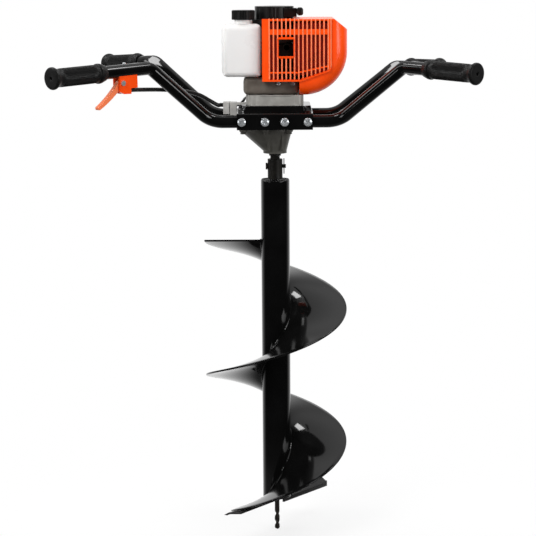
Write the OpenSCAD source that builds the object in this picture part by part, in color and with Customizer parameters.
// Hand-held petrol earth auger: engine, clutch, reduction gearbox, four-grip frame and auger bit.
// Millimetres. The origin is the pilot tip on the auger axis, +Z up, +X to the cylinder side.

/* [Auger bit] */
// Length of the pilot point below the tube
pilot_len = 75; // [60:1:90]
// Width of the pilot's flat bar
pilot_w = 11; // [8:0.5:14]
// Thickness of the pilot's flat bar
pilot_t = 5; // [4:0.5:6]
// Length of one full twist of the pilot
pilot_twist_pitch = 42; // [36:1:60]
// Outside diameter of the auger tube
tube_d = 60; // [56:1:66]
// Wall of the auger tube
tube_wall = 2.5; // [2:0.1:4]
// Length of the auger tube
tube_len = 688; // [660:1:720]
// Thickness of the discs that close the tube
tube_disc_t = 5; // [4:0.5:8]
// Outside diameter of the flight
flight_d = 300; // [250:1:320]
// Thickness of the flight plate
flight_t = 4; // [3:0.5:6]
// Rise of the flight in one turn
flight_pitch = 290; // [270:1:300]
// Angle that the flight winds through
flight_sweep = 670; // [600:10:680]
// Height of the flight's leading edge above the pilot tip
flight_low_z = 80; // [78:0.5:90]
// Extra fall of the flight towards its leading edge
flight_lead_drop = 15; // [5:1:20]
// Angle that the second wing winds through
wing_sweep = 40; // [40:10:50]
// Thickness of the cutting blades
blade_t = 4; // [3:0.5:5]
// Width of the cutting blades
blade_w = 34; // [28:1:40]
// Length of the blades' lip ahead of the flight's edge
blade_lip = 16; // [10:1:18]
// Slope of the blades' lip
blade_lip_slope = 31; // [24:1:36]
// Radius that the blades cut
blade_r = 158; // [151:1:165]
// Slope of the blades under the flight
blade_slope = 12; // [8:1:15]
// Outside diameter of the hitch socket
socket_d = 31; // [30:0.5:36]
// Length of the hitch socket
socket_len = 44; // [40:1:50]
// Diameter of the hitch pin
pin_d = 8; // [6:0.5:9]
// Distance of the hitch pin below the socket's top
pin_drop = 15; // [12:1:20]
// Diameter of the clip's wire
clip_wire_d = 2; // [1.6:0.1:2.4]

/* [Gearbox] */
// Output shaft diameter
shaft_d = 20; // [18:0.5:21]
// Stretch of output shaft between socket and gearbox
shaft_show = 13; // [9:1:20]
// Diameter of the bearing tower
tower_d = 49; // [48:0.5:52]
// Height of the bearing tower
tower_h = 50; // [46:1:56]
// Gear module of both stages
gear_module = 1.5; // [1.4:0.05:1.6]
// Teeth on the pinions
pinion_teeth = 10; // [10:1:12]
// Teeth on the large gears
wheel_teeth = 38; // [34:1:40]
// Face width of the output gear
out_gear_t = 12; // [10:0.5:14]
// Face width of the countershaft gear
in_gear_t = 8; // [6:0.5:10]
// Countershaft diameter
counter_d = 10; // [9:0.5:11]
// Wall of the gear case
case_wall = 4; // [3:0.5:5]
// Overhang of the gear case's lip
case_lip = 3; // [2:0.5:4]
// Height of the gearbox cover up to the deck
cover_h = 21; // [19:0.5:26]
// Length of the case's bolt bosses
ear_h = 30; // [22:1:34]
// Casing bolt diameter
bolt_d = 6; // [5:0.5:6.5]

/* [Frame] */
// Thickness of the deck's sheet
deck_t = 4; // [3:0.5:5]
// Half length of the deck along the handlebars
deck_half_x = 77; // [74:1:90]
// Height of the deck's raised middle above its rim
hat_h = 12; // [8:0.5:14]
// Depth of the deck's front and rear flanges
flange_h = 33; // [30:1:40]
// Handlebar tube diameter
bar_d = 26; // [24:0.5:28]
// Handlebar tube wall
bar_wall = 2; // [1.5:0.1:3]
// Distance of each handlebar from the auger axis
bar_y = 82; // [80:1:90]
// Half length of the handlebar's straight middle
bar_half_x = 130; // [120:1:150]
// Sideways reach of the handlebar's upper corner
corner_x = 250; // [230:1:270]
// Forward reach of the handlebar's upper corner
corner_y = 150; // [140:1:170]
// Rise of the upper corner above the straight middle
corner_rise = 113; // [105:1:120]
// Angle of the handles away from the X axis, seen from above
handle_splay = 46; // [40:1:50]
// Fall of each handle along its length
handle_droop = 1.8; // [0:0.1:4]
// Angle of the rear handles away from the X axis, seen from above
rear_splay = 51; // [46:1:54]
// Fall of each rear handle along its length
rear_droop = 3.8; // [1:0.1:5]
// How much lower the rear bar's left corner is bent than the front bar's
rear_left_drop = 3; // [0:1:10]
// How much lower the rear bar's right corner is bent than the front bar's
rear_right_drop = 17; // [0:1:20]
// Length of a handle from its corner
handle_len = 192; // [180:1:210]
// Extra length of the handle that carries the throttle
throttle_handle_extra = 50; // [45:1:60]
// Radius of the lower bends
bend_low_r = 55; // [45:1:60]
// Radius of the upper bends
bend_high_r = 45; // [40:1:50]
// Grip length
grip_len = 127; // [115:1:130]
// Grip diameter
grip_d = 35; // [33:0.5:38]
// Diameter of the grip's end flange
grip_flange_d = 43; // [40:0.5:48]
// Handlebar screw diameter
screw_d = 8; // [6:0.5:8]
// Head diameter of the handlebar screws
screw_head_d = 17; // [14:0.5:18]
// Distance of the inner handlebar screws from the middle
screw_inner_x = 20; // [18:1:26]
// Distance of the outer handlebar screws from the middle
screw_outer_x = 67; // [60:1:68]

/* [Clutch] */
// Side of the clutch housing
clutch_side = 114; // [108:1:118]
// How far the clutch housing stands to the right of the shaft
clutch_shift = 2; // [0:0.5:3]
// Height of the clutch housing
clutch_h = 22; // [21:0.5:26]
// Outside radius of the clutch drum
drum_r = 40; // [37:0.5:41]
// Diameter of the drum's shaft
drum_shaft_d = 15; // [14:0.5:15]

/* [Engine] */
// Width of the crankcase base
base_w = 114; // [112:1:120]
// Depth of the crankcase base
base_depth = 100; // [96:1:104]
// Height of the crankcase base
base_h = 37; // [34:0.5:40]
// Height of the whole crankcase
crankcase_h = 112; // [110:1:116]
// Radius of the crankcase round the crankshaft
crankcase_r = 39; // [38:0.5:41]
// Height of the cylinder's axis above the crankcase's foot
cylinder_rise = 66; // [65:0.5:68]
// Cylinder bore
bore_d = 40; // [38:0.5:42]
// Crank throw
crank_throw = 16; // [14:0.5:16]
// Connecting rod length
rod_len = 48; // [46:0.5:50]
// Crankshaft diameter
crank_d = 15; // [14:0.5:15]
// Side of the cylinder's square fins
fin_side = 68; // [62:1:68]
// Number of cylinder fins
fin_count = 7; // [5:1:8]
// Thickness of the cylinder fins
fin_t = 2.2; // [1.5:0.1:3]
// Distance of the cover's front face from the crankshaft
cover_front_y = 75; // [74:1:80]
// Distance of the cover's rear face from the crankshaft
cover_rear_y = 62; // [60:1:62]
// Reach of the cover past the cylinder head
cover_reach_x = 148; // [144:1:155]
// Reach of the cover's open edge past the crankshaft
cover_left_x = 25; // [22:1:26]
// Radius of the cover's round lower side
cover_round_r = 88; // [84:1:90]
// Radius of the cover's rolled rim
cover_rim_r = 30; // [20:1:34]
// Wall of the cover
cover_wall = 2.5; // [2:0.1:3]
// Thickness of the slotted guard
guard_t = 5; // [3:0.5:6]
// Number of slots across the guard
slot_count = 14; // [10:1:14]
// Distance between slots
slot_pitch = 8.5; // [8:0.1:8.8]
// Width of a slot
slot_w = 5.3; // [4:0.1:6]
// Radius of the flywheel
flywheel_r = 46; // [42:0.5:46]
// Number of fan blades on the flywheel
fan_blades = 14; // [8:1:18]
// Radius of the starter housing's skirt
skirt_r = 52; // [52:0.5:53]
// Height of the starter housing's skirt
skirt_h = 40; // [38:0.5:44]
// Radius of the starter's drum
starter_r = 40; // [37:0.5:41]
// Height of the starter's drum
starter_h = 26; // [25:0.5:30]
// Radius of the rope's groove in the reel
reel_groove_r = 26; // [24:0.5:27]
// Starter rope diameter
rope_d = 3.6; // [3:0.1:4]

/* [Fuel tank] */
// Width of the fuel tank
tank_w = 82; // [78:1:86]
// Depth of the fuel tank
tank_depth = 132; // [130:1:140]
// Height of the fuel tank
tank_h = 107; // [100:1:110]
// Wall of the fuel tank
tank_wall = 2.5; // [2:0.1:3]
// Edge radius of the fuel tank
tank_edge_r = 14; // [10:1:16]
// Outside diameter of the filler neck
neck_d = 36; // [32:0.5:36]
// Height of the filler neck
neck_h = 21; // [19:0.5:24]
// Diameter of the fuel cap
cap_d = 47; // [45:0.5:50]
// Height of the fuel cap
cap_h = 19; // [18:0.5:20]

/* [Throttle] */
// Width of the throttle housing
throttle_w = 20; // [18:0.5:24]
// Distance of the throttle housing from the handle's corner
throttle_start = 38; // [34:1:42]
// Length of the throttle housing
throttle_len = 46; // [44:1:50]
// Depth of the throttle housing below the tube
throttle_depth = 32; // [31:0.5:36]
// Length of the step at the throttle housing's inner end
throttle_step = 17; // [14:1:18]
// Width of the throttle lever
lever_w = 10; // [8:0.5:12]
// Length of the throttle lever
lever_len = 72; // [66:1:76]
// Diameter of the throttle cable
cable_d = 7.5; // [6:0.1:8]

/* [Fits] */
// Radial clearance of a turning shaft
running_gap = 0.05; // [0.02:0.01:0.1]
// Clearance between pieces that are assembled by hand
seat_gap = 0.2; // [0.1:0.05:0.3]
// Clearance beside a piece that moves
moving_gap = 0.5; // [0.3:0.05:0.8]

/* [Hidden] */
$fn = 64;
hull_fn = 32;

// Heights, stacked from the pilot tip
tube_z0 = pilot_len;
tube_z1 = tube_z0 + tube_len;
socket_z1 = tube_z1 + socket_len;
pin_z = socket_z1 - pin_drop;
box_z0 = socket_z1 + shaft_show;
cavity_z0 = box_z0 + tower_h;
out_gear_z = cavity_z0 + 1;
in_gear_z = out_gear_z + out_gear_t + 4;
cavity_z1 = in_gear_z + in_gear_t + 2;
deck_under = cavity_z1 + cover_h;
deck_top = deck_under + deck_t;
rim_top = deck_top - hat_h;
rim_under = rim_top - deck_t;
bar_z = rim_under - seat_gap - bar_d / 2;
crankcase_z = deck_top + clutch_h;
base_top = crankcase_z + base_h;
crankcase_top = crankcase_z + crankcase_h;
cylinder_z = crankcase_z + cylinder_rise;
tank_z = base_top + seat_gap;
tank_top = tank_z + tank_h;
starter_z = crankcase_top + skirt_h;
starter_top = starter_z + starter_h;

// Flight: the leading edge points to the left front, and the blade stands just ahead of it
flight_start_angle = 230;
flight_step = 10;
flight_lead_angle = 130;
flight_strips = 3;
weld_gap = 0.1;
flight_r0 = (tube_d / 2 + weld_gap) / cos(flight_step / 2);
pilot_rings = 30;
clip_x = socket_d / 2 + clip_wire_d / 2 + 2;
pin_head_h = 4;

// Gear pair
gear_distance = gear_module * (pinion_teeth + wheel_teeth) / 2;
pressure_angle = 25;
tooth_addendum = 0.8;
tooth_dedendum = 1.05;
tooth_thinning = 0.08;
flank_steps = 3;
wheel_tip_r = gear_module * (wheel_teeth / 2 + tooth_addendum);
cavity_r = wheel_tip_r + 2;
ear_r = bolt_d + 1.5;
ear_circle = cavity_r + case_wall + bolt_d + seat_gap;
ear_angle = 45;
ears = [for (s = [-1, 1])
    each [[ear_circle * cos(ear_angle), s * ear_circle * sin(ear_angle)],
          [-gear_distance - ear_circle * cos(ear_angle), s * ear_circle * sin(ear_angle)],
          [-gear_distance / 2, s * ear_circle]]];
shaft_bearing = [shaft_d, shaft_d + 22, 12];
counter_bearing = [counter_d, counter_d + 16, 8];
drum_bearing = [drum_shaft_d, drum_shaft_d + 17, 9];
crank_bearing = [crank_d, crank_d + 20, 11];
seal_t = 6;
input_boss_r = drum_bearing[1] / 2 + bolt_d + 4;
deck_bolt_circle = drum_bearing[1] / 2 + bolt_d / 2 + 2;
collar_h = 5;
lower_bearing_z = box_z0 + seal_t + 1;
upper_bearing_z = cavity_z0 - shaft_bearing[2] - 2;
cover_plate_t = 9;
bolt_head_h = 5;
deck_head_h = 3.2;

// Frame
hat_slope = [8, 1.7];
rib_t = deck_t;
flange_y = bar_y + bar_d / 2 + seat_gap;
rib_y = bar_y - bar_d / 2 - seat_gap - rib_t;
hat_half_x = deck_half_x - 0.5;
hat_half_y = rib_y - 2;
screw_xs = [-screw_outer_x, -screw_inner_x, screw_inner_x, screw_outer_x];
screw_head_h = 5.5;
nut_h = 6.5;
corner_z = bar_z + corner_rise;
engine_bolt_xy = clutch_side / 2 - 12;

// Clutch
drum_z = deck_top + deck_head_h + 1;
drum_floor = 3;
drum_wall = 2.5;
hub_r = 14;

// Engine
base_x = -7;
web_r = crank_throw + 13;
web_t = 12;
rod_t = 11;
bearing_reach = rod_t / 2 + 0.5 + web_t + 3;
deck_of_cylinder = crankcase_r + 1;
piston_pin_x = crank_throw + rod_len;
piston_half = 14;
head_x = piston_pin_x + piston_half + 1.5;
head_t = 13;
barrel_r = bore_d / 2 + 4;
cylinder_flange = 2 * (cylinder_rise - base_h) - 2;
cover_round_x = cover_reach_x - cover_round_r;
cover_step = cover_round_x - base_x - base_w / 2 - 2 * seat_gap;
cover_round_z = crankcase_z + cover_round_r;
cover_top = starter_z + 2;
cover_floor = base_top - 8;
cover_chamfer = [27, 23];
guard_right = slot_count * slot_pitch - 6;
guard_seat = 4;
guard_low_right = cover_floor + 21;
slots_x0 = -8.8;
window_cols = [2, 5];
window_z = cylinder_z + 31;
window_half = 17;
muffler_x = 38;
muffler_w = 80;
muffler_h = 64;
muffler_wall = 1.5;
muffler_z = cylinder_z + 6;
muffler_back = crankcase_r + 2 * seat_gap;
muffler_d = cover_front_y - cover_wall - 2.5 - muffler_back;
skirt_wall = 3;
reel_z = starter_top - 16.5;
reel_t = 13;
rope_z = reel_z + reel_t / 2;
rope_y = -(reel_groove_r + rope_d / 2 + 0.2);
post_r = 6;
starter_lobes = 6;
starter_lobe_r = 7;
handle_x = starter_r + 6;
tank_right = -25;
saddle_r = skirt_r + 2;
neck_x = -63;
neck_y = -42;
neck_wall = 4;
gasket_t = 2;
gasket_z = tank_top + neck_h + seat_gap;
carb_x = 55;
carb_y0 = fin_side / 2 + seat_gap;
carb_w = 40;
carb_y1 = carb_y0 + 44;
primer_travel = 4;
filter_d = 42;
filter_w = 82;
filter_h = 84;
filter_wall = 2.5;
throttle_shaft_y = carb_y0 + 28;
choke_shaft_y = carb_y0 + 38;
lever_pivot_z = cylinder_z + carb_w / 2 + 6;

// Throttle, in the handle's own frame: x along the handle, z up
pivot_x = throttle_start + throttle_len - 8;
pivot_z = -(bar_d / 2 + 9.5);
pivot_d = 5;
throttle_screw_d = 5;
lever_rest = -37.5;
clamp_x = throttle_start + 24;
clamp_head = [8, 4];
clamp_head_z = -bar_d / 2 - throttle_depth + 1;
switch_x = throttle_start + 8;
switch_z = -bar_d / 2 - 18;
switch_travel = 6;
throttle_step_h = 11;
throttle_exit_z = -bar_d / 2 - throttle_depth + 6;
cable_end_gap = 0.3;

// Routes of bent tubes and cords
function handle_dir(sx, sy) = let(
    splay = sy > 0 ? rear_splay : handle_splay,
    droop = sy > 0 ? rear_droop : handle_droop)
    [sx * cos(splay) * cos(droop), sy * sin(splay) * cos(droop), -sin(droop)];
function corner_drop(sx, sy) = sy < 0 ? 0 : (sx < 0 ? rear_left_drop : rear_right_drop);
function corner(sx, sy) = [sx * corner_x, sy * corner_y, corner_z - corner_drop(sx, sy)];
function handle_end(sx, sy) = corner(sx, sy) + handle_dir(sx, sy) * handle_length(sx, sy);
function handle_point(sx, sy, x, z) = let(d = handle_dir(sx, sy))
    corner(sx, sy) + d * x + cross(d, flat_side(d)) * z;
function handle_length(sx, sy) = handle_len + ((sx < 0 && sy < 0) ? throttle_handle_extra : 0);
function bar_points(sy) = [
    handle_end(-1, sy), corner(-1, sy), [-bar_half_x, sy * bar_y, bar_z],
    [bar_half_x, sy * bar_y, bar_z], corner(1, sy), handle_end(1, sy)];
bar_radii = [0, bend_high_r, bend_low_r, bend_low_r, bend_high_r, 0];
bracket_z = deck_top;
bracket_block = 14;
clutch_left = clutch_shift - clutch_side / 2;
bracket_gap = 1;
bracket_x = -deck_half_x - bracket_gap - 2 * bracket_block;
cable_route = concat(
    [for (back = [cable_end_gap, 8, 16]) handle_point(-1, -1, throttle_start + throttle_step - back, throttle_exit_z)],
    [[-228, -116, 961], [-182, -82, 955], [-154, -52, 945], [-134, -32, 932], [-118, -22, 922], [-112, -22, 922],
     [bracket_x - cable_end_gap, -22, 922]]);
cable_route_rear = [
    [bracket_x + 2 * bracket_block + cable_end_gap, -22, 922], [-74, -22, 922], [-71, -21, 924], [-65, -10, 929],
    [-63, 20, 931], [-58, 50, 933], [-46, 66, 945], [-36, 73, 972], [-20, 73, 1005], [4, 70, 1030], [20, 69, 1038],
    [26, 69, 1038], [carb_x - carb_w / 2 - 4 - cable_end_gap, 69, 1038]];

// Helpers

function unit(v) = v / norm(v);
function turn(a, b) = acos(max(-1, min(1, unit(a) * unit(b))));
function flat_side(d) = unit(cross([0, 0, 1], d));

// Smooth step from 0 to 1
function smooth(x) = let(c = max(0, min(1, x))) c * c * (3 - 2 * c);

// Points of the round bend at corner i of a path
function bend_points(p, r, i, steps) = let(
    u = unit(p[i] - p[i - 1]),
    v = unit(p[i + 1] - p[i]),
    a = turn(u, v),
    first = p[i] - u * r[i] * tan(a / 2),
    inward = unit(v - u * (u * v)))
    [for (k = [0 : steps]) let(t = a * k / steps)
        first + u * r[i] * sin(t) + inward * r[i] * (1 - cos(t))];

function rounded_path(p, r, steps) = concat(
    [p[0]], [for (i = [1 : len(p) - 2]) each bend_points(p, r, i, steps)], [p[len(p) - 1]]);

// A smooth curve through the route's points
function curve_at(p, i, t) = let(
    n = len(p) - 1,
    a = p[max(0, i - 1)], b = p[i], c = p[min(n, i + 1)], d = p[min(n, i + 2)])
    0.5 * (2 * b + (c - a) * t + (2 * a - 5 * b + 4 * c - d) * t * t
        + (3 * b - a - 3 * c + d) * t * t * t);
function smooth_path(p, steps) = concat(
    [for (i = [0 : len(p) - 2]) for (k = [0 : steps - 1]) curve_at(p, i, k / steps)],
    [p[len(p) - 1]]);

// Directions along a path, and side vectors carried along it without twist
function path_dirs(p) = let(n = len(p) - 1)
    [for (i = [0 : n]) unit((i < n ? unit(p[i + 1] - p[i]) : [0, 0, 0])
        + (i > 0 ? unit(p[i] - p[i - 1]) : [0, 0, 0]))];
function first_side(d) = abs(d.z) < 0.9 ? flat_side(d) : unit(cross([0, 1, 0], d));
function path_sides(d, i = 0, last = [1, 0, 0], done = []) =
    i == len(d) ? done
    : let(s = i == 0 ? first_side(d[0]) : unit(last - d[i] * (last * d[i])))
        path_sides(d, i + 1, s, concat(done, [s]));

function path_rings(p, r, sides) = let(d = path_dirs(p), s = path_sides(d))
    [for (i = [0 : len(p) - 1]) for (j = [0 : sides - 1]) let(a = 360 * j / sides)
        p[i] + r * (cos(a) * s[i] + sin(a) * cross(d[i], s[i]))];

function ring_faces(rings, sides, from, flip) =
    [for (i = [0 : rings - 2]) for (j = [0 : sides - 1]) let(
        k = (j + 1) % sides,
        a = from + i * sides + j, b = from + i * sides + k, c = a + sides, d = b + sides)
        each flip ? [[a, b, c], [b, d, c]] : [[a, c, b], [b, c, d]]];

function fan(first, sides, flip) =
    [for (j = [1 : sides - 2]) flip ? [first, first + j + 1, first + j] : [first, first + j, first + j + 1]];

// Solid rod along a path
module swept_rod(p, r, sides) {
    last = (len(p) - 1) * sides;
    polyhedron(
        path_rings(p, r, sides),
        concat(ring_faces(len(p), sides, 0, false), fan(0, sides, false), fan(last, sides, true)));
}

// Hollow tube along a path
module swept_tube(p, r, wall, sides) {
    m = len(p) * sides;
    e = m - sides;
    polyhedron(
        concat(path_rings(p, r, sides), path_rings(p, r - wall, sides)),
        concat(
            ring_faces(len(p), sides, 0, false), ring_faces(len(p), sides, m, true),
            [for (j = [0 : sides - 1]) let(k = (j + 1) % sides)
                each [[j, k, m + j], [k, m + k, m + j],
                      [e + j, m + e + j, e + k], [e + k, m + e + j, m + e + k]]]));
}

// Puts children into a frame given by its origin, x direction and y direction
module in_frame(o, x, y) {
    z = cross(x, y);
    multmatrix([[x.x, y.x, z.x, o.x], [x.y, y.y, z.y, o.y], [x.z, y.z, z.z, o.z], [0, 0, 0, 1]])
        children();
}

// Frame of one handle: x from its corner to its end, z up
module on_handle(sx, sy) {
    d = handle_dir(sx, sy);
    in_frame(corner(sx, sy), d, flat_side(d)) children();
}

module rounded_rect(w, h, r) {
    square([w - 2 * r, h], center = true);
    square([w, h - 2 * r], center = true);
    for (x = [-1, 1], y = [-1, 1]) translate([x * (w / 2 - r), y * (h / 2 - r)]) circle(r);
}

// Block with all its edges rounded, centred
module rounded_block(w, d, h, r) {
    intersection() {
        linear_extrude(h, center = true) rounded_rect(w, d, r);
        rotate([90, 0, 0]) linear_extrude(d, center = true) rounded_rect(w, h, r);
        rotate([90, 0, 90]) linear_extrude(w, center = true) rounded_rect(d, h, r);
    }
}

// Upright block with its vertical edges rounded
module upright_block(w, d, h, r) linear_extrude(h) rounded_rect(w, d, r);

module along_x(x0, x1, r) translate([x0, 0, 0]) rotate([0, 90, 0]) cylinder(r = r, h = x1 - x0);
module along_y(y0, y1, r) translate([0, y0, 0]) rotate([-90, 0, 0]) cylinder(r = r, h = y1 - y0);
module along_z(z0, z1, r) translate([0, 0, z0]) cylinder(r = r, h = z1 - z0);
module ring_z(z0, z1, r_out, r_in) {
    translate([0, 0, z0]) linear_extrude(z1 - z0) difference() {
        circle(r_out);
        circle(r_in);
    }
}

// Ball bearing as its closed outer shape with a groove between the rings
module bearing(z0, size) {
    r_in = size[0] / 2 + running_gap;
    r_out = size[1] / 2 - running_gap;
    groove = (r_out - r_in) / 3;
    translate([0, 0, z0]) rotate_extrude() difference() {
        translate([r_in, 0]) square([r_out - r_in, size[2]]);
        for (z = [-0.5, size[2] - 0.5]) translate([r_in + groove, z]) square([groove, 1]);
    }
}

// Spur gears: each tooth's flanks are involutes of the base circle

function involute(a) = tan(a) * 180 / PI - a;
function half_tooth(r, teeth) = let(
    pitch_r = gear_module * teeth / 2,
    base_r = pitch_r * cos(pressure_angle))
    90 / teeth - tooth_thinning / pitch_r * 180 / PI + involute(pressure_angle)
        - involute(acos(min(1, base_r / r)));
function gear_points(teeth) = let(
    pitch_r = gear_module * teeth / 2,
    root_r = pitch_r - gear_module * tooth_dedendum,
    tip_r = pitch_r + gear_module * tooth_addendum,
    low_r = max(root_r + 0.01, pitch_r * cos(pressure_angle)),
    flank = [for (i = [0 : flank_steps]) low_r + (tip_r - low_r) * i / flank_steps])
    [for (k = [0 : teeth - 1]) let(c = 360 * k / teeth) each concat(
        [polar(root_r, c - half_tooth(low_r, teeth))],
        [for (r = flank) polar(r, c - half_tooth(r, teeth))],
        [for (i = [flank_steps : -1 : 0]) polar(flank[i], c + half_tooth(flank[i], teeth))],
        [polar(root_r, c + half_tooth(low_r, teeth))])];
function polar(r, a) = [r * cos(a), r * sin(a)];
module gear(teeth, z0, t, turned) {
    translate([0, 0, z0]) rotate(turned) linear_extrude(t) polygon(gear_points(teeth));
}
module on_countershaft() translate([-gear_distance, 0, 0]) children();

// Auger bit

// Height of the flight's middle plane, by the angle from its leading edge
function flight_z(u) = flight_low_z + flight_lead_drop * smooth(u / flight_lead_angle)
    + flight_pitch * u / 360;
function flight_point(i, j, side, from) = let(
    u = i * flight_step,
    r = flight_r0 + (flight_d / 2 - flight_r0) * j / flight_strips)
    [r * cos(from + u), r * sin(from + u), flight_z(u) + side * flight_t / 2];

// Plate of the helical flight, as a grid of points on its upper and lower faces
module helical_plate(sweep, from) {
    n = round(sweep / flight_step);
    m = flight_strips;
    k = (n + 1) * (m + 1);
    function id(i, j) = i * (m + 1) + j;
    polyhedron(
        concat(
            [for (i = [0 : n]) for (j = [0 : m]) flight_point(i, j, 1, from)],
            [for (i = [0 : n]) for (j = [0 : m]) flight_point(i, j, -1, from)]),
        concat(
            [for (i = [0 : n - 1]) for (j = [0 : m - 1]) each [
                [id(i, j), id(i + 1, j), id(i, j + 1)],
                [id(i, j + 1), id(i + 1, j), id(i + 1, j + 1)],
                [k + id(i, j), k + id(i, j + 1), k + id(i + 1, j)],
                [k + id(i, j + 1), k + id(i + 1, j + 1), k + id(i + 1, j)]]],
            [for (i = [0 : n - 1]) each [
                [id(i, 0), k + id(i, 0), id(i + 1, 0)],
                [k + id(i, 0), k + id(i + 1, 0), id(i + 1, 0)],
                [id(i, m), id(i + 1, m), k + id(i, m)],
                [k + id(i, m), id(i + 1, m), k + id(i + 1, m)]]],
            [for (j = [0 : m - 1]) each [
                [id(0, j), id(0, j + 1), k + id(0, j)],
                [k + id(0, j), id(0, j + 1), k + id(0, j + 1)],
                [id(n, j), k + id(n, j), id(n, j + 1)],
                [k + id(n, j), k + id(n, j + 1), id(n, j + 1)]]]));
}

module auger_flight() color("#1b1b1d") helical_plate(flight_sweep, flight_start_angle);

module second_wing() color("#1b1b1d") helical_plate(wing_sweep, flight_start_angle - 180);

// One blade lies under a leading edge: x outward, y back along the flight. Its lip bends down ahead
// of the edge and is ground sharp from below
module blade() {
    drop = flight_t / 2 / cos(blade_slope) + weld_gap;
    inner = tube_d / 2 + 6;
    back = [cos(blade_slope), sin(blade_slope)];
    ahead = -[cos(blade_lip_slope), sin(blade_lip_slope)];
    under_back = [back.y, -back.x] * blade_t;
    under_lip = [-ahead.y, ahead.x] * blade_t;
    grind = 2 * blade_t;
    translate([inner, 0, -drop]) rotate([90, 0, 90]) linear_extrude(blade_r - inner) polygon([
        ahead * blade_lip, [0, 0], back * blade_w, back * blade_w + under_back,
        (under_back + under_lip) / 2, ahead * (blade_lip - grind) + under_lip]);
}
module cutting_blades() {
    color("#26262a") for (a = [0, 180]) rotate(flight_start_angle + a) translate([0, 0, flight_low_z]) blade();
}

module auger_tube() {
    color("#1b1b1d") difference() {
        along_z(tube_z0, tube_z1, tube_d / 2);
        along_z(tube_z0 + tube_disc_t, tube_z1 - tube_disc_t, tube_d / 2 - tube_wall);
    }
}

// Twisted flat bar, as rings of its chamfered section that turn as they rise and taper at the tip
function pilot_ring(i) = let(
    z = tube_z0 * i / pilot_rings,
    taper = 0.65 + 0.35 * smooth(z / pilot_w),
    w = pilot_w / 2 * taper,
    t = pilot_t / 2 * taper,
    a = 360 * z / pilot_twist_pitch)
    [for (q = [[w, -t / 2], [w, t / 2], [w - t / 2, t], [t / 2 - w, t], [-w, t / 2], [-w, -t / 2],
               [t / 2 - w, -t], [w - t / 2, -t]])
        [q.x * cos(a) - q.y * sin(a), q.x * sin(a) + q.y * cos(a), z]];
module pilot_point() {
    sides = 8;
    color("#3a332c") polyhedron(
        [for (i = [0 : pilot_rings]) each pilot_ring(i)],
        concat(ring_faces(pilot_rings + 1, sides, 0, false), fan(0, sides, false),
            fan(pilot_rings * sides, sides, true)));
}

module bit_socket() {
    weld_r = 3;
    color("#1b1b1d") difference() {
        union() {
            along_z(tube_z1, socket_z1, socket_d / 2);
            translate([0, 0, tube_z1]) cylinder(r1 = socket_d / 2 + weld_r, r2 = socket_d / 2, h = weld_r);
        }
        along_z(tube_z1 - 1, socket_z1 + 1, shaft_d / 2 + seat_gap);
        translate([0, 0, pin_z]) along_x(-socket_d, socket_d, pin_d / 2 + seat_gap);
    }
}

module hitch_pin() {
    color("#b9bcc0") translate([0, 0, pin_z]) difference() {
        union() {
            along_x(-socket_d / 2 - seat_gap - 1, clip_x + 4, pin_d / 2);
            along_x(-socket_d / 2 - seat_gap - pin_head_h, -socket_d / 2 - seat_gap, pin_d / 2 + 3);
        }
        translate([clip_x, 0, 0]) along_z(-pin_d, pin_d, clip_wire_d / 2 + seat_gap / 2);
    }
}

// Spring clip: a straight leg through the pin, a loop, and a leg that springs round the pin
module hitch_clip() {
    loop_r = 4;
    bulge = pin_d / 2 + clip_wire_d / 2 + seat_gap;
    leg = [[0, -16], [0, 9]];
    loop = [for (a = [150 : -30 : -30]) [loop_r + loop_r * cos(a), 11 + loop_r * sin(a)]];
    spring = [[bulge + 1, 6], [bulge, 1], [bulge, -2], [bulge - 1, -6], [bulge - 2.4, -9], [bulge - 1, -15]];
    points = [for (q = concat(leg, loop, spring)) [clip_x, q[0], pin_z + q[1]]];
    color("#b9bcc0") swept_rod(points, clip_wire_d / 2, 8);
}

// Gearbox

module output_shaft() {
    color("#3f3f42") difference() {
        union() {
            along_z(tube_z1 + 2, out_gear_z + out_gear_t + 1, shaft_d / 2);
            along_z(box_z0 - collar_h - moving_gap, box_z0 - moving_gap, shaft_d / 2 + 2.5);
        }
        translate([0, 0, pin_z]) along_x(-socket_d, socket_d, pin_d / 2 + seat_gap);
    }
}

module output_gear() {
    color("#8f8f92") difference() {
        gear(wheel_teeth, out_gear_z, out_gear_t, 0);
        along_z(out_gear_z - 1, out_gear_z + out_gear_t + 1, shaft_d / 2 + running_gap);
    }
}

module countershaft() {
    pinion_top = out_gear_z + out_gear_t + 1;
    color("#8f8f92") on_countershaft() {
        along_z(cavity_z0 - counter_bearing[2], cavity_z1 + counter_bearing[2], counter_d / 2);
        gear(pinion_teeth, cavity_z0 + moving_gap, pinion_top - cavity_z0 - moving_gap, 180 / pinion_teeth);
    }
}

module countershaft_gear() {
    color("#8f8f92") on_countershaft() difference() {
        gear(wheel_teeth, in_gear_z, in_gear_t, 0);
        along_z(in_gear_z - 1, in_gear_z + in_gear_t + 1, counter_d / 2 + running_gap);
    }
}

// Outline round both gears
module gear_outline(r) {
    circle(r);
    translate([-gear_distance, 0]) circle(r);
    translate([-gear_distance, -r]) square([gear_distance, 2 * r]);
}

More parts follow.
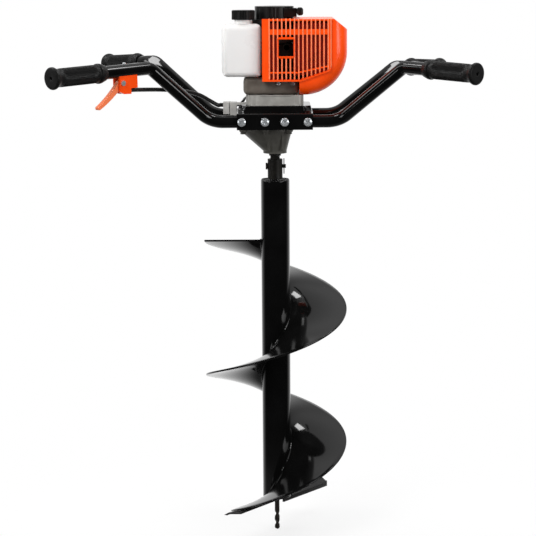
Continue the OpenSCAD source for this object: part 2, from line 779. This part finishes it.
module gearbox_housing() {
    r = cavity_r + case_wall;
    floor_z = cavity_z0 - 4;
    lip_z = cavity_z1 - ear_h;
    cone_rise = 4;
    rib = 6;
    color("#5a5853") difference() {
        union() {
            along_z(box_z0, floor_z + 1, tower_d / 2);
            hull() {
                translate([0, 0, box_z0 + cone_rise]) cylinder(d = tower_d - 1, h = 1, $fn = hull_fn);
                for (x = [0, -gear_distance])
                    translate([x, 0, floor_z]) cylinder(r = r - 0.5, h = 2, $fn = hull_fn);
            }
            translate([0, 0, floor_z]) linear_extrude(cavity_z1 - floor_z) gear_outline(r);
            translate([0, 0, lip_z]) linear_extrude(cavity_z1 - lip_z) gear_outline(r + case_lip);
            for (e = ears) translate(e) along_z(cavity_z1 - ear_h, cavity_z1, ear_r);
            for (a = [-60, -113, 60, 113]) rotate(a) translate([0, -rib / 2, box_z0 + 8]) cube([r - 1, rib, floor_z - box_z0 - 7]);
        }
        translate([0, 0, cavity_z0]) linear_extrude(tower_h) gear_outline(cavity_r);
        along_z(box_z0 - 1, cavity_z0 + 1, shaft_bearing[1] / 2);
        on_countershaft() along_z(cavity_z0 - counter_bearing[2], cavity_z0 + 1, counter_bearing[1] / 2);
        for (e = ears) translate(e) along_z(cavity_z1 - ear_h - 1, cavity_z1 + 1, bolt_d / 2 + seat_gap);
    }
}

module gearbox_cover() {
    r = cavity_r + case_wall;
    color("#6a6863") difference() {
        union() {
            translate([0, 0, cavity_z1]) linear_extrude(cover_plate_t) gear_outline(r);
            for (e = ears) translate(e) along_z(cavity_z1, cavity_z1 + cover_plate_t, ear_r);
            along_z(cavity_z1, deck_under, input_boss_r);
            on_countershaft() along_z(cavity_z1, cavity_z1 + cover_plate_t + 3, counter_bearing[1] / 2 + 3);
        }
        along_z(cavity_z1 - 1, deck_under + 1, drum_bearing[1] / 2);
        on_countershaft() along_z(cavity_z1 - 1, cavity_z1 + counter_bearing[2], counter_bearing[1] / 2);
        for (e = ears) translate(e) along_z(cavity_z1 - 1, cavity_z1 + cover_plate_t - 2, bolt_d / 2 + seat_gap);
        for (a = [45 : 90 : 315]) rotate(a) translate([deck_bolt_circle, 0, 0])
            along_z(deck_under - 10, deck_under + 1, bolt_d / 2 + seat_gap);
    }
}

// Hexagon bolt: the shank runs from the head's face towards +Z or -Z
module bolt(z_face, length, head_h, up) {
    translate([0, 0, z_face]) rotate([up ? 0 : 180, 0, 0]) {
        cylinder(d = bolt_d, h = length);
        translate([0, 0, -head_h]) cylinder(d = bolt_d * 1.85, h = head_h, $fn = 6);
    }
}

module casing_bolts() {
    color("#b9bcc0") {
        for (e = ears) translate(e) bolt(cavity_z1 - ear_h, ear_h + cover_plate_t - 3, bolt_head_h, true);
        for (a = [45 : 90 : 315]) rotate(a) translate([deck_bolt_circle, 0, 0])
            bolt(deck_top, deck_t + 9, deck_head_h, false);
        for (x = [-1, 1], y = [-1, 1]) translate([x * engine_bolt_xy, y * engine_bolt_xy, 0])
            bolt(deck_under, deck_t + clutch_h - 3, bolt_head_h, true);
    }
}

module output_seal() {
    color("#222222") ring_z(box_z0, box_z0 + seal_t, shaft_bearing[1] / 2 - running_gap, shaft_d / 2 + running_gap);
}

module ball_bearings() {
    crank_lower_z = cylinder_z - bearing_reach - crank_bearing[2];
    color("#c8c9cb") {
        for (z = [lower_bearing_z, upper_bearing_z]) bearing(z, shaft_bearing);
        on_countershaft() for (z = [cavity_z0 - counter_bearing[2], cavity_z1]) bearing(z, counter_bearing);
        for (z = [cavity_z1, deck_under - drum_bearing[2]]) bearing(z, drum_bearing);
        for (z = [crank_lower_z, cylinder_z + bearing_reach]) bearing(z, crank_bearing);
    }
}

// Frame

// Raised middle of the deck, as a flat-topped hat between two thin slices
module hat(inset, z0, z1) {
    slice = 0.01;
    hull() {
        for (lift = [0, 1]) {
            x = hat_half_x - inset - lift * hat_slope.x;
            y = hat_half_y - inset - lift * hat_slope.y;
            translate([-x, -y, lift == 0 ? z0 : z1 - slice]) cube([2 * x, 2 * y, slice]);
        }
    }
}

module deck_plate() {
    rim_y = flange_y + deck_t;
    color("#1d1d1f") difference() {
        union() {
            hat(0, rim_under, deck_top);
            translate([-deck_half_x, -rim_y, rim_under]) cube([2 * deck_half_x, 2 * rim_y, deck_t]);
            for (s = [-1, 1]) {
                translate([-deck_half_x, s * (flange_y + deck_t / 2) - deck_t / 2, rim_top - flange_h])
                    cube([2 * deck_half_x, deck_t, flange_h]);
                translate([-deck_half_x, s * (rib_y + rib_t / 2) - rib_t / 2, rim_top - flange_h + 3])
                    cube([2 * deck_half_x, rib_t, flange_h - 4]);
            }
        }
        hat(deck_t, rim_under - 0.1, deck_under);
        for (x = screw_xs) translate([x, 0, bar_z]) along_y(-rim_y - 1, rim_y + 1, screw_d / 2 + seat_gap);
        along_z(deck_under - 1, deck_top + 1, drum_bearing[1] / 2);
        for (a = [45 : 90 : 315]) rotate(a) translate([deck_bolt_circle, 0, 0])
            along_z(deck_under - 1, deck_top + 1, bolt_d / 2 + seat_gap);
        for (x = [-1, 1], y = [-1, 1]) translate([x * engine_bolt_xy, y * engine_bolt_xy, 0])
            along_z(deck_under - 1, deck_top + 1, bolt_d / 2 + seat_gap);
    }
}

module handlebar(sy) {
    difference() {
        swept_tube(rounded_path(bar_points(sy), bar_radii, 6), bar_d / 2, bar_wall, 20);
        for (x = screw_xs) translate([x, sy * bar_y, bar_z]) along_y(-bar_d, bar_d, screw_d / 2 + seat_gap);
    }
}

module front_handlebar() color("#1b1b1d") handlebar(-1);

module rear_handlebar() color("#1b1b1d") handlebar(1);

// Rubber grip: collar, barrel, end flange and closed end, turned about the handle
module grip(sx, sy) {
    end = handle_length(sx, sy);
    bore = bar_d / 2 / cos(180 / 40) + seat_gap;
    barrel = grip_d / 2;
    flange = grip_flange_d / 2;
    closed = 3;
    length = grip_len + closed;
    on_handle(sx, sy) translate([end - grip_len, 0, 0]) rotate([0, 90, 0]) rotate_extrude() difference() {
        union() {
            polygon([
                [0, 0], [bore + 2.2, 0], [barrel + 2, 12], [barrel + 2, 17], [barrel, 19],
                [barrel, length - 14], [flange - 1.5, length - 8], [flange, length - 6.5],
                [flange, length - 2], [flange - 2, length], [0, length]]);
        }
        square([bore, grip_len + 0.1]);
        square([3, length + 1]);
    }
}

module front_left_grip() color("#252525") grip(-1, -1);
module front_right_grip() color("#252525") grip(1, -1);
module rear_left_grip() color("#252525") grip(-1, 1);
module rear_right_grip() color("#252525") grip(1, 1);

// Pan-head screws through flange, tube and rib, each with a hexagon nut
module handlebar_screws() {
    head_y = flange_y + deck_t;
    color("#c3c6ca") for (s = [0, 180], x = screw_xs) rotate(s) translate([x, 0, bar_z]) {
        along_y(-head_y, -rib_y + nut_h + 2, screw_d / 2);
        translate([0, -head_y, 0]) rotate([90, 0, 0]) intersection() {
            cylinder(d = screw_head_d, h = screw_head_h);
            translate([0, 0, screw_head_h - screw_head_d]) sphere(screw_head_d);
        }
        difference() {
            translate([0, -rib_y, 0]) rotate([-90, 0, 0]) cylinder(d = screw_d * 1.8, h = nut_h, $fn = 6);
            along_y(-head_y, 0, screw_d / 2 + running_gap);
        }
    }
}

// Cable bracket on the clutch housing: foot, arm, clamp block and the cable's adjuster
module cable_bracket() {
    arm_w = 26;
    block = bracket_block;
    block_top = 6;
    foot_t = 4;
    face_x = clutch_left;
    cable_y = cable_route[len(cable_route) - 1].y;
    color("#b4b4b0") translate([0, cable_y, bracket_z]) difference() {
        union() {
            translate([face_x - foot_t, -arm_w / 2, 1]) cube([foot_t - seat_gap, arm_w, clutch_h - 2]);
            translate([bracket_x + block + 2, -arm_w / 2, 1]) cube([face_x - bracket_x - block - foot_t, 9, 5]);
            translate([bracket_x + block, -arm_w / 2, block_top - arm_w]) cube([block, arm_w, arm_w]);
            translate([bracket_x, -arm_w / 2 + 2, block_top - arm_w + 2]) cube([block - 1.5, arm_w - 4, arm_w - 2]);
            along_x(bracket_x + 1, bracket_x + block + 1, cable_d);
        }
        along_x(bracket_x - 1, bracket_x + 2 * block + 1, cable_d / 4);
    }
}

// Clutch

module clutch_housing() {
    boss_r = 13;
    boss_xy = clutch_side / 2 - boss_r;
    relief = 4;
    color("#9d9c96") difference() {
        translate([clutch_shift, 0, deck_top]) {
            upright_block(clutch_side - relief, clutch_side - relief, clutch_h, boss_r);
            for (x = [-1, 1], y = [-1, 1]) translate([x * boss_xy, y * boss_xy, 0]) along_z(0, clutch_h, boss_r);
        }
        along_z(deck_top - 1, crankcase_z + 1, drum_r + 4);
        for (x = [-1, 1], y = [-1, 1]) translate([x * engine_bolt_xy, y * engine_bolt_xy, 0])
            along_z(deck_top - 1, crankcase_z - 2, bolt_d / 2 + seat_gap);
    }
}

module clutch_drum() {
    color("#8b8b8d") {
        difference() {
            along_z(drum_z, crankcase_z - 3, drum_r);
            along_z(drum_z + drum_floor, crankcase_z, drum_r - drum_wall);
        }
        along_z(in_gear_z + in_gear_t + moving_gap, drum_z + 1, drum_shaft_d / 2);
        gear(pinion_teeth, in_gear_z - 1, cavity_z1 - in_gear_z + 1 - moving_gap, 180 / pinion_teeth);
    }
}

// Two shoes on the crankshaft's hub, with the gap between them that lets them swing out
module clutch_shoes() {
    z0 = drum_z + drum_floor + moving_gap;
    color("#6f6a63") difference() {
        ring_z(z0, z0 + 9, drum_r - drum_wall - 1, hub_r + running_gap);
        translate([-drum_r, -2, z0 - 1]) cube([2 * drum_r, 4, 12]);
        for (s = [-1, 1]) translate([0, s * (drum_r - 12), 0]) along_z(z0 - 1, z0 + 10, 4);
    }
}

// Engine

module crankcase() {
    coil_pad = [40, 30, 6];
    color("#7d7870") difference() {
        union() {
            translate([base_x, 0, crankcase_z + base_h / 2]) rounded_block(base_w, base_depth, base_h, 11);
            along_z(crankcase_z + base_h / 2, crankcase_top, crankcase_r);
            along_z(crankcase_top - 6, crankcase_top, skirt_r);
            translate([-coil_pad.x / 2, skirt_r - 14, crankcase_top - coil_pad.z]) cube(coil_pad);
            translate([0, -30, cylinder_z - 30]) cube([deck_of_cylinder - seat_gap, 60, 60]);
        }
        along_z(crankcase_z - 1, crankcase_z + 22, hub_r + 3);
        along_z(crankcase_z - 1, crankcase_top + 1, crank_d / 2 + 1);
        along_z(cylinder_z - bearing_reach - crank_bearing[2], cylinder_z + bearing_reach + crank_bearing[2],
            crank_bearing[1] / 2);
        along_z(cylinder_z - bearing_reach + 2, cylinder_z + bearing_reach - 2, web_r + 2);
        translate([0, 0, cylinder_z]) along_x(0, deck_of_cylinder + 1, bore_d / 2 + 0.6);
    }
}

// Built-up crankshaft: two halves, each a shaft with a web
module crankshaft() {
    web_gap = rod_t / 2 + moving_gap;
    color("#8f8f92") {
        along_z(drum_z + drum_floor + 1, crankcase_z + 20, hub_r);
        along_z(crankcase_z + 19, cylinder_z - web_gap, crank_d / 2);
        along_z(cylinder_z - web_gap - web_t, cylinder_z - web_gap, web_r);
        along_z(cylinder_z + web_gap, cylinder_z + web_gap + web_t, web_r);
        along_z(cylinder_z + web_gap, starter_z - 6, crank_d / 2);
    }
}

// Rod with its crank pin and piston pin, drawn at the top of the stroke
module connecting_rod() {
    color("#a8a8aa") translate([0, 0, cylinder_z]) {
        translate([crank_throw, 0, 0]) along_z(-rod_t / 2, rod_t / 2, 10);
        translate([piston_pin_x, 0, 0]) along_z(-rod_t / 2, rod_t / 2, 7);
        translate([crank_throw, -4, -rod_t / 4]) cube([rod_len, 8, rod_t / 2]);
        translate([piston_pin_x, 0, 0]) along_z(-bore_d / 2 + 4, bore_d / 2 - 4, 4.5);
    }
}

module piston() {
    skirt = bore_d / 2 - running_gap;
    color("#b8b8b8") translate([piston_pin_x, 0, cylinder_z]) difference() {
        along_x(-piston_half, piston_half, skirt);
        along_x(-piston_half - 1, piston_half - 5, skirt - 3.5);
        along_z(-bore_d, bore_d, 4.5 + running_gap);
        for (x = [piston_half - 4.5, piston_half - 2.5]) difference() {
            along_x(x, x + 1, bore_d);
            along_x(x - 1, x + 2, skirt - 1.5);
        }
    }
}

// Finned cylinder with its base flange, head and two ports
module cylinder_block_2d(side) rounded_rect(side, side, 8);
module finned_cylinder() {
    fin_step = (head_x + head_t - deck_of_cylinder - 10) / fin_count;
    color("#8e8c86") translate([0, 0, cylinder_z]) difference() {
        union() {
            along_x(deck_of_cylinder, head_x + head_t, barrel_r);
            translate([deck_of_cylinder, 0, 0]) rotate([90, 0, 90]) linear_extrude(5) cylinder_block_2d(cylinder_flange);
            for (i = [1 : fin_count]) translate([deck_of_cylinder + 7 + i * fin_step - fin_t, 0, 0])
                rotate([90, 0, 90]) linear_extrude(fin_t) cylinder_block_2d(fin_side);
            translate([carb_x - 13, 0, -14]) cube([26, fin_side / 2, 28]);
            translate([carb_x - 13, -muffler_back + seat_gap, -14]) cube([26, muffler_back, 28]);
        }
        along_x(deck_of_cylinder - 1, head_x, bore_d / 2);
        along_x(head_x - 1, head_x + head_t + 1, 7);
        translate([carb_x, 0, 0]) along_y(0, fin_side, 8);
        translate([carb_x, 0, 0]) along_y(-fin_side, 0, 9);
    }
}

module spark_plug() {
    x0 = head_x + head_t;
    color("#d9d7d2") translate([0, 0, cylinder_z]) {
        along_x(head_x + 1, x0 + 1, 7 - running_gap);
        translate([x0 + seat_gap / 4, 0, 0]) rotate([0, 90, 0]) rotate_extrude() square([9, 2]);
        translate([x0 + 2, 0, 0]) rotate([0, 90, 0]) cylinder(r = 9, h = 8, $fn = 6);
        along_x(x0 + 9, x0 + 22, 4.5);
    }
}

module spark_plug_boot() {
    x0 = head_x + head_t + 11;
    color("#222222") translate([0, 0, cylinder_z]) difference() {
        union() {
            along_x(x0, x0 + 22, 9);
            translate([x0 + 14, 0, 0]) along_y(0, 20, 6);
        }
        along_x(x0 - 1, x0 + 13, 4.5 + seat_gap);
    }
}

module muffler() {
    color("#4a4846") translate([muffler_x, -muffler_back - muffler_d / 2, muffler_z]) difference() {
        union() {
            rounded_block(muffler_w, muffler_d, muffler_h, 8);
            upright_block(muffler_w + 5, muffler_d - 16, 2.4, 6);
            translate([-13, 0, window_z - muffler_z]) along_y(-muffler_d / 2 - 2, 0, 8);
        }
        rounded_block(muffler_w - 2 * muffler_wall, muffler_d - 2 * muffler_wall, muffler_h - 2 * muffler_wall,
            8 - muffler_wall);
        translate([-13, 0, window_z - muffler_z]) along_y(-muffler_d, 0, 6);
    }
}

// Region of the cover seen from the front, drawn in by inset
module cover_region(inset) {
    left = cover_round_x - cover_step + inset;
    polygon([
        [-cover_left_x, cover_floor + inset], [left, cover_floor + inset], [left, crankcase_z - 1],
        [cover_reach_x + 1, crankcase_z - 1], [cover_reach_x + 1, cover_top - cover_chamfer.y],
        [cover_reach_x - cover_chamfer.x - inset / 2, cover_top - inset], [-cover_left_x, cover_top - inset]]);
}

// Quarter-round corner of a cover section: width from the middle, depth from the rear face
module rim_section(width, depth, rim) {
    square([width - rim, depth]);
    square([width, depth - rim]);
    translate([width - rim, depth - rim]) circle(rim);
}

// Body of the cover: half a disc with a rolled rim below, and a block with a rolled edge above it
module cover_body(inset) {
    rim = cover_rim_r - inset;
    depth = cover_front_y + cover_rear_y - 2 * inset;
    rear = cover_rear_y - inset;
    intersection() {
        front_extrude(-cover_front_y - 1, cover_rear_y + 1) cover_region(inset);
        union() {
            intersection() {
                translate([cover_round_x, rear, cover_round_z]) rotate([90, 0, 0])
                    rotate_extrude() rim_section(cover_round_r - inset, depth, rim);
                translate([-cover_reach_x, -cover_reach_x, crankcase_z - 2])
                    cube([3 * cover_reach_x, 2 * cover_reach_x, cover_round_z - crankcase_z + 2]);
            }
            translate([0, rear, cover_round_z]) mirror([0, 1, 0]) linear_extrude(cover_top - cover_round_z)
                rim_section(cover_reach_x - inset, depth, rim);
            translate([-cover_left_x, -cover_front_y + inset, cover_floor])
                cube([cover_left_x + cover_round_x, depth, cover_top - cover_floor]);
        }
    }
}
module front_extrude(y0, y1) translate([0, y1, 0]) rotate([90, 0, 0]) linear_extrude(y1 - y0) children();

module cylinder_cover() {
    head_end = head_x + head_t + seat_gap;
    color("#ff5a12") {
        difference() {
            cover_body(0);
            cover_body(cover_wall);
            translate([-cover_left_x - 1, -cover_front_y + cover_wall, cover_floor + cover_wall])
                cube([cover_left_x, cover_front_y + cover_rear_y - 2 * cover_wall,
                      cover_top - cover_floor - 2 * cover_wall]);
            along_z(base_top, cover_top + 1, skirt_r + 1.5);
            translate([-cover_left_x - 1, -base_depth / 2 - 2, crankcase_z - 1])
                cube([cover_left_x + base_x + base_w / 2 + 1 + 2 * seat_gap, cover_rear_y + base_depth / 2 + 3, base_h + 3]);
            front_extrude(-cover_front_y - 1, -cover_front_y + cover_wall + 1)
                polygon([
                    [-cover_left_x + 12, cover_floor + guard_seat], [50, cover_floor + guard_seat],
                    [guard_right - guard_seat, guard_low_right + 2],
                    [guard_right - guard_seat, cover_top - guard_seat],
                    [-cover_left_x + 12, cover_top - guard_seat]]);
            translate([carb_x - carb_w / 2 - 6, cover_rear_y - cover_wall - 1, cylinder_z - carb_w / 2 - 16])
                cube([carb_w + 24, cover_wall + 2, carb_w + 40]);
            translate([-25, 40, crankcase_top - 8]) cube([50, cover_rear_y, 60]);
        }
        for (s = [-1, 1]) translate([0, s * 22, cylinder_z + 24])
            along_x(head_end, cover_reach_x - cover_wall / 2, 5);
    }
}

// Slotted front of the cover: columns of slots in three rows round the exhaust window
module muffler_guard() {
    top_row = [cover_top - 20, cover_top - 3];
    main_top = cover_top - 31;
    row_gap = 3;
    function main_low(x) = cover_floor + 19.5 + max(0, x - 45) * 0.21;
    function base_low(x) = cover_floor + 3 + max(0, x - 50) * 0.33;
    function in_window(i) = i >= window_cols[0] && i <= window_cols[1];
    window_x = slots_x0 + window_cols[0] * slot_pitch;
    window_w = (window_cols[1] - window_cols[0]) * slot_pitch + slot_w;
    frame = 4;
    raised = 1.5;
    color("#ff5a12") {
        front_extrude(-cover_front_y - guard_t, -cover_front_y) difference() {
            polygon([
                [-cover_left_x, cover_floor], [52, cover_floor], [guard_right, guard_low_right],
                [guard_right, cover_top], [-cover_left_x, cover_top]]);
            for (i = [0 : slot_count - 1]) {
                x = slots_x0 + i * slot_pitch;
                translate([x, top_row[0]]) square([slot_w, top_row[1] - top_row[0]]);
                translate([x, base_low(x)]) square([slot_w, main_low(x) - row_gap - base_low(x)]);
                if (in_window(i)) {
                    translate([x, main_low(x)]) square([slot_w, window_z - window_half - frame - main_low(x)]);
                    translate([x, window_z + window_half + frame])
                        square([slot_w, main_top - window_z - window_half - frame]);
                } else {
                    translate([x, main_low(x)]) square([slot_w, main_top - main_low(x)]);
                }
            }
            translate([window_x, window_z - window_half]) square([window_w, 2 * window_half]);
        }
        front_extrude(-cover_front_y - guard_t - raised, -cover_front_y) difference() {
            translate([window_x - frame / 2, window_z - window_half - frame / 2])
                square([window_w + frame, 2 * window_half + frame]);
            translate([window_x, window_z - window_half]) square([window_w, 2 * window_half]);
        }
    }
}

module flywheel() {
    z0 = crankcase_top + 3;
    color("#9a9a98") difference() {
        union() {
            along_z(z0, z0 + 14, flywheel_r);
            for (i = [0 : fan_blades - 1]) rotate(i * 360 / fan_blades)
                translate([18, -1.5, z0 + 13]) cube([flywheel_r - 19, 3, 11]);
            along_z(z0, starter_z - 8, 18.5);
        }
        along_z(z0 - 1, starter_z, crank_d / 2 + running_gap);
    }
}

module ignition_coil() {
    z0 = crankcase_top + seat_gap;
    y0 = flywheel_r + 0.6;
    color("#2a2a2c") difference() {
        union() {
            translate([-16, y0 - 4, z0]) cube([32, 8, 8]);
            translate([0, y0 + 11, z0 + 10]) rounded_block(28, 18, 20, 3);
        }
        along_z(z0 - 1, z0 + 40, y0);
    }
}

// Starter housing: skirt over the flywheel, lobed drum over the reel, rope guide
module starter_housing() {
    color("#1f1f20") difference() {
        union() {
            along_z(crankcase_top, starter_z, skirt_r);
            along_z(starter_z - 1, starter_top, starter_r);
            for (i = [0 : starter_lobes - 1]) rotate(i * 360 / starter_lobes + 30)
                translate([starter_r - 4.5, 0, 0]) along_z(starter_z - 1, starter_top, starter_lobe_r);
            translate([20, rope_y - 10, starter_z + 5]) cube([handle_x - seat_gap - 20, 20, starter_h - 8]);
            translate([-22, 40, crankcase_top]) cube([44, 30, 26]);
        }
        along_z(crankcase_top - 1, starter_z - 3, skirt_r - skirt_wall);
        difference() {
            along_z(starter_z - 4, starter_top - 2.5, reel_groove_r + 6.6);
            along_z(starter_z, starter_top, post_r);
        }
        translate([-20, 38, crankcase_top - 1]) cube([40, 30, 24]);
        translate([0, rope_y, rope_z]) along_x(0, handle_x + 5, rope_d / 2 + 1.2);
        for (a = [0 : 30 : 330]) rotate(a) translate([skirt_r - 8, -2, starter_z - 5]) cube([5, 4, 10]);
    }
}

module starter_reel() {
    groove_t = rope_d + 3;
    color("#e8e6df") difference() {
        along_z(reel_z, reel_z + reel_t, reel_groove_r + 6);
        ring_z(rope_z - groove_t / 2, rope_z + groove_t / 2, reel_groove_r + 8, reel_groove_r);
        along_z(reel_z - 1, reel_z + reel_t + 1, post_r + running_gap);
    }
}

module starter_rope() {
    color("#e9e4d8") translate([0, rope_y, rope_z]) along_x(0, handle_x + 3, rope_d / 2);
}

module starter_handle() {
    color("#1f1f20") translate([handle_x + 6.5, rope_y, rope_z]) difference() {
        rounded_block(13, 36, 16, 5);
        along_x(-8, -3.5 + seat_gap, rope_d / 2 + seat_gap / 2);
    }
}

// Fuel tank

module tank_shape(inset) {
    difference() {
        translate([tank_right - tank_w / 2, 0, tank_z + tank_h / 2])
            rounded_block(tank_w - 2 * inset, tank_depth - 2 * inset, tank_h - 2 * inset, tank_edge_r - inset);
        along_z(tank_z - 1, tank_top + 1, saddle_r + inset);
    }
}
module at_neck() translate([neck_x, neck_y, 0]) children();

module fuel_tank() {
    color([0.95, 0.95, 0.93]) difference() {
        union() {
            tank_shape(0);
            at_neck() along_z(tank_top - 1, tank_top + neck_h, neck_d / 2);
        }
        tank_shape(tank_wall);
        at_neck() along_z(tank_top - tank_wall - 1, tank_top + neck_h + 1, neck_d / 2 - neck_wall);
    }
}

module cap_gasket() {
    color("#161616") at_neck() ring_z(gasket_z, gasket_z + gasket_t, neck_d / 2 - 0.5, neck_d / 2 - neck_wall);
}

module fuel_cap() {
    rib_count = 30;
    ceiling = gasket_z + gasket_t + seat_gap;
    color("#1f1f20") at_neck() difference() {
        union() {
            along_z(ceiling + 4 - cap_h, ceiling + 4, cap_d / 2 - 1);
            for (i = [0 : rib_count - 1]) rotate(i * 360 / rib_count)
                translate([cap_d / 2 - 1.2, 0, 0]) along_z(ceiling + 4 - cap_h, ceiling + 3, 1.2);
        }
        along_z(ceiling + 3 - cap_h, ceiling, neck_d / 2 + 0.4);
    }
}

// Intake

module carburettor() {
    flange_y1 = carb_y0 + 8;
    color("#a9a8a4") translate([carb_x, 0, cylinder_z]) difference() {
        union() {
            translate([-19, carb_y0, -19]) cube([38, 8, 38]);
            translate([0, carb_y1, 0]) rotate([90, 0, 0])
                upright_block(carb_w, carb_w, carb_y1 - flange_y1 + 1, 5);
            translate([0, throttle_shaft_y, 0]) along_z(0, carb_w / 2 + 6, 11);
            translate([0, throttle_shaft_y, 0]) along_z(0, carb_w / 2 + 12, 3);
            translate([-carb_w / 2 - 4, carb_y0 + 22, carb_w / 2 - 10]) cube([5, 20, 26]);
            translate([0, choke_shaft_y, 0]) along_x(0, carb_w / 2 + 6, 2.5);
        }
        along_y(carb_y0 - 1, carb_y1 + 1, 8);
        translate([0, throttle_shaft_y, 0]) along_z(-carb_w / 2 - 1, -carb_w / 2 + 6, 9 + moving_gap);
    }
}

module carburettor_lever() {
    color("#8f8f92") translate([carb_x, throttle_shaft_y, lever_pivot_z + seat_gap]) difference() {
        union() {
            cylinder(r = 7, h = 3);
            translate([-15, -3.5, 0]) cube([15, 7, 3]);
            translate([-15, 0, 0]) cylinder(r = 3.5, h = 3);
        }
        along_z(-1, 4, 3 + running_gap);
    }
}

module choke_lever() {
    color("#1f1f20") translate([carb_x + carb_w / 2 + seat_gap, choke_shaft_y, cylinder_z]) difference() {
        union() {
            along_x(0, 3, 6);
            translate([0, -3, -26]) cube([3, 6, 26]);
            translate([0, -4, -30]) cube([9, 8, 5]);
        }
        along_x(-1, 4, 2.5 + running_gap);
    }
}

module primer_bulb() {
    z0 = cylinder_z - carb_w / 2;
    color([0.75, 0.25, 0.2]) translate([carb_x, throttle_shaft_y, 0]) {
        along_z(z0 - 3, z0 + 6 - primer_travel - moving_gap, 9);
        translate([0, 0, z0 - 3]) intersection() {
            sphere(9);
            translate([0, 0, -10]) cylinder(r = 12, h = 10);
        }
    }
}

module air_filter_cover() {
    y0 = carb_y1 + seat_gap;
    color("#232324") translate([carb_x, y0 + filter_d / 2, cylinder_z]) difference() {
        rounded_block(filter_w, filter_d, filter_h, 10);
        translate([0, -2, 0])
            rounded_block(filter_w - 2 * filter_wall, filter_d - 7, filter_h - 2 * filter_wall, 8);
        along_y(-filter_d, 0, 9);
        for (i = [-3 : 3]) translate([i * 9, 0, 2 - filter_h / 2]) cube([5, filter_d - 22, 10], center = true);
    }
}

// Throttle on the front left handle

module throttle_profile() {
    x0 = throttle_start;
    x1 = throttle_start + throttle_len;
    top = -bar_d / 2 + 6;
    low = -bar_d / 2 - throttle_depth;
    step_z = low + throttle_step_h;
    polygon([[x0, top], [x0, step_z], [x0 + throttle_step, step_z], [x0 + throttle_step, low],
             [pivot_x - 3, low + 1], [x1, low + 6], [x1, top]]);
}

// The housing lies in the XZ plane of the handle's frame
module handle_extrude(w) rotate([90, 0, 0]) linear_extrude(w, center = true) children();

module throttle_housing() {
    color("#ff5a12") on_handle(-1, -1) difference() {
        handle_extrude(throttle_w) throttle_profile();
        along_x(throttle_start - 1, throttle_start + throttle_len + 20, bar_d / 2 + seat_gap);
        translate([pivot_x - 10, -lever_w / 2 - moving_gap, -bar_d - 40])
            cube([40, lever_w + 2 * moving_gap, bar_d / 2 + 40]);
        translate([pivot_x, 0, pivot_z]) along_y(-throttle_w, throttle_w, pivot_d / 2 + seat_gap);
        translate([clamp_x, 0, 0]) along_z(-bar_d / 2 - 40, 0, throttle_screw_d / 2 + seat_gap);
        translate([clamp_x, 0, 0])
            along_z(-bar_d / 2 - 40, clamp_head_z + clamp_head.y + seat_gap, clamp_head.x / 2 + seat_gap);
        translate([switch_x - moving_gap, -throttle_w / 2 - 1, switch_z - moving_gap])
            cube([10 + switch_travel + 2 * moving_gap, 5, 8 + 2 * moving_gap]);
    }
}

// The clamp screw bears on the tube from below, and the pivot pin carries the lever
module throttle_screws() {
    tip = -bar_d / 2 - seat_gap;
    color("#b9bcc0") on_handle(-1, -1) {
        translate([clamp_x, 0, 0]) along_z(clamp_head_z, tip, throttle_screw_d / 2);
        translate([clamp_x, 0, clamp_head_z]) cylinder(d = clamp_head.x, h = clamp_head.y);
        translate([pivot_x, 0, pivot_z]) along_y(-throttle_w / 2 - 1, throttle_w / 2, pivot_d / 2);
        translate([pivot_x, 0, pivot_z]) along_y(throttle_w / 2, throttle_w / 2 + 3, pivot_d);
    }
}

// Finger lever: an arc from the pivot to the tip, drawn at rest
module throttle_lever() {
    bow = 0.04 * lever_len;
    arc_r = (lever_len * lever_len / 4 + bow * bow) / 2 / bow;
    half = asin(lever_len / 2 / arc_r);
    function arc_point(r, a) = [lever_len / 2 + r * sin(a), arc_r - bow - r * cos(a)];
    outer = [for (i = [0 : 10]) arc_point(arc_r + 6.5 - i * 0.3, -half + 2 * half * i / 10)];
    inner = [for (i = [10 : -1 : 0]) arc_point(arc_r - 6.5 + i * 0.3, -half + 2 * half * i / 10)];
    color("#ff5a12") on_handle(-1, -1) translate([pivot_x, 0, pivot_z]) difference() {
        handle_extrude(lever_w) rotate(lever_rest) {
            circle(7);
            translate([lever_len, 0]) circle(3.6);
            polygon(concat(outer, inner));
        }
        along_y(-lever_w, lever_w, pivot_d / 2 + running_gap);
    }
}

module stop_switch() {
    color("#b3261e") on_handle(-1, -1)
        translate([switch_x, -throttle_w / 2 - 2, switch_z]) cube([10, 5.8, 8]);
}

module throttle_cable() {
    color("#141414") {
        swept_rod(smooth_path(cable_route, 3), cable_d / 2, 10);
        swept_rod(smooth_path(cable_route_rear, 3), cable_d / 2 - 1, 10);
    }
}

deck_plate();
front_handlebar();
rear_handlebar();
front_left_grip();
front_right_grip();
rear_left_grip();
rear_right_grip();
handlebar_screws();
cable_bracket();
gearbox_housing();
gearbox_cover();
casing_bolts();
output_seal();
ball_bearings();
clutch_housing();
crankcase();
finned_cylinder();  // cylinder
spark_plug();
spark_plug_boot();
piston();
connecting_rod();
muffler();
muffler_guard();
cylinder_cover();
ignition_coil();
starter_housing();
fuel_tank();
carburettor();
air_filter_cover();
throttle_housing();
throttle_screws();
throttle_cable();
output_shaft();
output_gear();
auger_tube();
auger_flight();
second_wing();
cutting_blades();
pilot_point();
bit_socket();
hitch_pin();
hitch_clip();
countershaft();
countershaft_gear();
clutch_drum();
crankshaft();
flywheel();
clutch_shoes();
throttle_lever();
carburettor_lever();
stop_switch();
cap_gasket();
fuel_cap();
starter_handle();
starter_rope();
starter_reel();
choke_lever();
primer_bulb();
